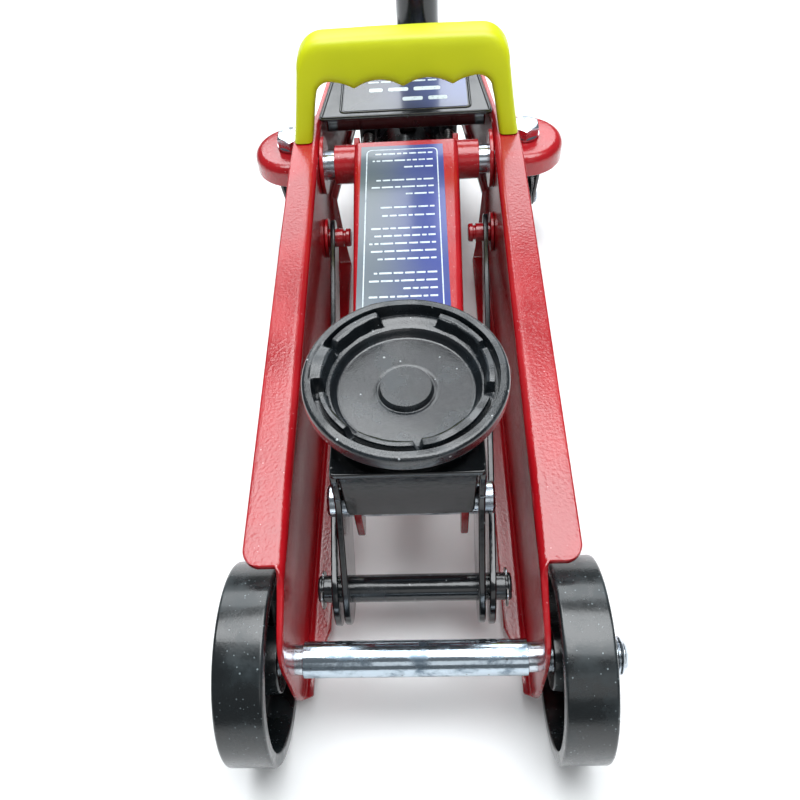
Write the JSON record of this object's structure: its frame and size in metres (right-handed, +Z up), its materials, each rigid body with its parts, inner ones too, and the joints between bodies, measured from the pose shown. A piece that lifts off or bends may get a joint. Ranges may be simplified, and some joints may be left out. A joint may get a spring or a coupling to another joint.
{
  "type": "car jack",
  "caption": "Low trolley jack with pressed side plates, lift arm and saddle, hydraulic power unit, moulded carrying loop, rear casters and an upright pump handle.",
  "frame": {"origin": "on the floor, under the middle of the jack's outline seen from above", "axes": "+Z up; +Y from the saddle towards the pump handle and casters; +X to the right when the jack is seen from its saddle end"},
  "size_m": [0.202, 0.4504, 0.5614],
  "materials": {
    "red_paint": "gloss powder coat",
    "black_paint": "gloss enamel",
    "black_cast": "satin enamel on a casting",
    "black_plastic": "moulded, scuffed gloss",
    "yellow_plastic": "moulded, fine texture",
    "zinc_plate": "bright zinc plating",
    "bare_steel": "ground and oiled",
    "rubber": "matt"
  },
  "bodies": {
    "frame": {"side_plate_left": "red_paint", "side_plate_right": "red_paint", "link_stud_left": "red_paint", "link_stud_right": "red_paint", "trunnion_bolt_left": "zinc_plate", "trunnion_bolt_right": "zinc_plate", "carry_screw_left": "zinc_plate", "carry_screw_right": "zinc_plate", "caster_ear_left": "red_paint", "caster_ear_right": "red_paint", "caster_bolt_left": "zinc_plate", "caster_bolt_right": "zinc_plate", "caster_nut_left": "zinc_plate", "caster_nut_right": "zinc_plate", "return_spring_left": "bare_steel", "return_spring_right": "bare_steel", "axle_spacer_tube": "zinc_plate", "front_axle": "zinc_plate", "axle_push_nut": "zinc_plate", "main_shaft": "zinc_plate", "pivot_disc_left": "red_paint", "pivot_disc_right": "red_paint", "ram_cylinder": "bare_steel", "gland_nut": "zinc_plate", "reservoir_tank": "black_cast", "filler_plug": "rubber", "pump_block": "black_cast", "cover_plate": "black_plastic", "carry_handle": "yellow_plastic", "yoke_bolt": "zinc_plate", "plunger_spring": "bare_steel"},
    "lift_arm_body": {"lift_arm": "red_paint", "arm_crank": "red_paint", "crank_pin": "zinc_plate", "bracket_pin": "zinc_plate"},
    "saddle_bracket_body": {"saddle_bracket": "black_paint", "link_pin": "black_paint"},
    "saddle_body": {"saddle": "black_cast", "saddle_clip": "bare_steel"},
    "lift_link_body_left": {"lift_link_left": "black_paint"},
    "lift_link_body_right": {"lift_link_right": "black_paint"},
    "ram_body": {"ram_head": "bare_steel", "ram_rod": "bare_steel"},
    "front_wheel_left_body": {"front_wheel_left": "black_plastic"},
    "front_wheel_right_body": {"front_wheel_right": "black_plastic"},
    "caster_body_left": {"caster_fork_left": "black_paint", "caster_axle_left": "zinc_plate"},
    "caster_body_right": {"caster_fork_right": "black_paint", "caster_axle_right": "zinc_plate"},
    "caster_wheel_body_left": {"caster_wheel_left": "black_plastic"},
    "caster_wheel_body_right": {"caster_wheel_right": "black_plastic"},
    "yoke_body": {"handle_socket": "black_paint", "pump_roller": "bare_steel"},
    "plunger_body": {"pump_plunger": "bare_steel"},
    "release_spindle_body": {"release_spindle": "zinc_plate"},
    "release_key_body": {"release_key": "zinc_plate"},
    "handle_body": {"handle_lower_tube": "black_paint", "handle_upper_tube": "black_paint", "handle_grip": "rubber"},
    "snap_button_body": {"snap_button": "zinc_plate"}
  },
  "joints": [
    {"name": "lift", "type": "hinge", "parent": "frame", "child": "lift_arm_body", "pos_m": [0, 0.10082, 0.091], "axis": [-1, 0, 0], "range_deg": [0, 55], "deforming": ["return_spring_left", "return_spring_right"]},
    {"name": "bracket_level", "type": "hinge", "parent": "lift_arm_body", "child": "saddle_bracket_body", "pos_m": [0, -0.12218, 0.072], "axis": [-1, 0, 0], "range_deg": [-55, 0]},
    {"name": "saddle_swivel", "type": "hinge", "parent": "saddle_bracket_body", "child": "saddle_body", "pos_m": [0, -0.09918, 0.133], "axis": [0, 0, 1], "continuous": true},
    {"name": "lift_link_left_pivot", "type": "hinge", "parent": "frame", "child": "lift_link_body_left", "pos_m": [-0.0465, 0.07382, 0.057], "axis": [-1, 0, 0], "range_deg": [0, 55]},
    {"name": "lift_link_right_pivot", "type": "hinge", "parent": "frame", "child": "lift_link_body_right", "pos_m": [0.0465, 0.07382, 0.057], "axis": [-1, 0, 0], "range_deg": [0, 55]},
    {"name": "ram_stroke", "type": "slide", "parent": "frame", "child": "ram_body", "axis": [0, -1, 0], "range_m": [0, 0.04156]},
    {"name": "front_wheel_left_roll", "type": "hinge", "parent": "frame", "child": "front_wheel_left_body", "pos_m": [-0.067, -0.18318, 0.042], "axis": [1, 0, 0], "continuous": true},
    {"name": "front_wheel_right_roll", "type": "hinge", "parent": "frame", "child": "front_wheel_right_body", "pos_m": [0.067, -0.18318, 0.042], "axis": [1, 0, 0], "continuous": true},
    {"name": "caster_left_swivel", "type": "hinge", "parent": "frame", "child": "caster_body_left", "pos_m": [-0.076, 0.14482, 0.0605], "axis": [0, 0, 1], "continuous": true},
    {"name": "caster_left_roll", "type": "hinge", "parent": "caster_body_left", "child": "caster_wheel_body_left", "pos_m": [-0.076, 0.15482, 0.02], "axis": [1, 0, 0], "continuous": true},
    {"name": "caster_right_swivel", "type": "hinge", "parent": "frame", "child": "caster_body_right", "pos_m": [0.076, 0.14482, 0.0605], "axis": [0, 0, 1], "continuous": true},
    {"name": "caster_right_roll", "type": "hinge", "parent": "caster_body_right", "child": "caster_wheel_body_right", "pos_m": [0.076, 0.15482, 0.02], "axis": [1, 0, 0], "continuous": true},
    {"name": "pump", "type": "hinge", "parent": "frame", "child": "yoke_body", "pos_m": [0.009, 0.19982, 0.093], "axis": [-1, 0, 0], "range_deg": [0, 45], "stiffness_Nm_per_rad": 1.2, "springref_deg": -22.92},
    {"name": "plunger_stroke", "type": "slide", "parent": "frame", "child": "plunger_body", "axis": [0, 0, -1], "range_m": [0, 0.01225], "deforming": ["plunger_spring"]},
    {"name": "release_twist", "type": "hinge", "parent": "yoke_body", "child": "release_key_body", "pos_m": [0.009, 0.19982, 0.109], "axis": [0, 0, 1], "range_deg": [0, 180]},
    {"name": "release_spindle_turn", "type": "hinge", "parent": "frame", "child": "release_spindle_body", "pos_m": [0.009, 0.19632, 0.07], "axis": [0, 0, 1], "range_deg": [0, 180]},
    {"name": "handle_pull", "type": "slide", "parent": "release_key_body", "child": "handle_body", "axis": [0, 0, 1], "range_m": [0, 0.072]},
    {"name": "snap_button_press", "type": "slide", "parent": "handle_body", "child": "snap_button_body", "axis": [0, 1, 0], "range_m": [0, 0.0028], "stiffness_N_per_m": 250, "springref_m": -0.002}
  ],
  "couplings": [
    {"joint": "bracket_level", "follows": "lift", "ratio": -1},
    {"joint": "lift_link_left_pivot", "follows": "lift", "ratio": 1},
    {"joint": "lift_link_right_pivot", "follows": "lift", "ratio": 1},
    {"joint": "ram_stroke", "follows": "lift", "m_per_rad": 0.043292},
    {"joint": "plunger_stroke", "follows": "pump", "m_per_rad": 0.015591},
    {"joint": "release_spindle_turn", "follows": "release_twist", "ratio": 1}
  ]
}
